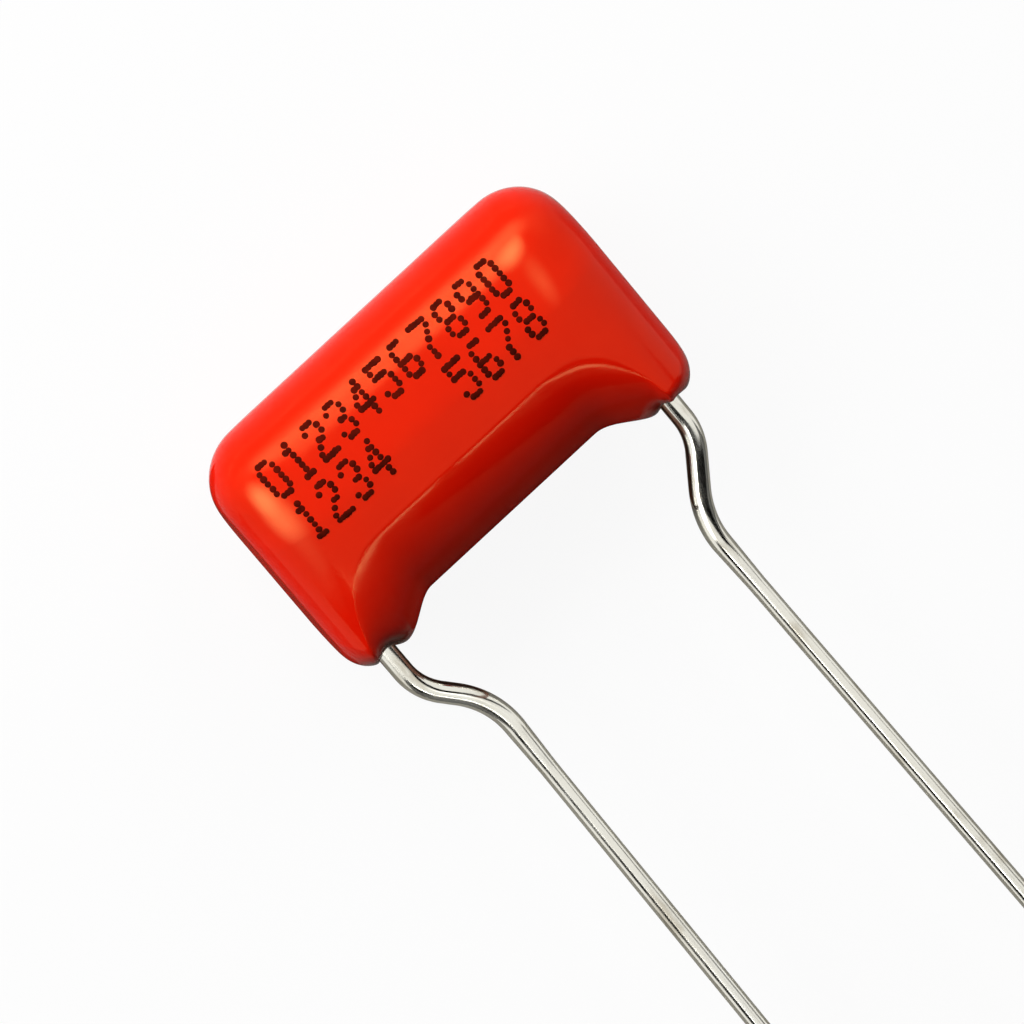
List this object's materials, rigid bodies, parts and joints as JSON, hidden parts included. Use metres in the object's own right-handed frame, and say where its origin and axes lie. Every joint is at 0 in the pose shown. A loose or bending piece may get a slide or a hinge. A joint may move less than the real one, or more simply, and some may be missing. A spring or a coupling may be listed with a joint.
{
  "type": "polyester film capacitor",
  "caption": "Radial film capacitor: a pillow of glossy orange-red epoxy with a leg at each end, an arch between the legs, and a crimped tinned wire lead from each leg.",
  "frame": {"origin": "middle of the level back face, halfway up the body", "axes": "+X along the row of leads, +Y up the body with the leads reaching to -Y, +Z through the thickness, out of the front face"},
  "size_m": [0.0154, 0.0418, 0.005],
  "materials": {
    "epoxy": "gloss",
    "winding": "satin",
    "end_metal": "matte",
    "solder": "satin",
    "tinned_wire": "gloss"
  },
  "bodies": {
    "root": {"epoxy_coating": "epoxy", "film_foil_winding": "winding", "left_end_metal": "end_metal", "right_end_metal": "end_metal", "left_solder_joint": "solder", "right_solder_joint": "solder", "left_lead": "tinned_wire", "right_lead": "tinned_wire"}
  },
  "joints": []
}
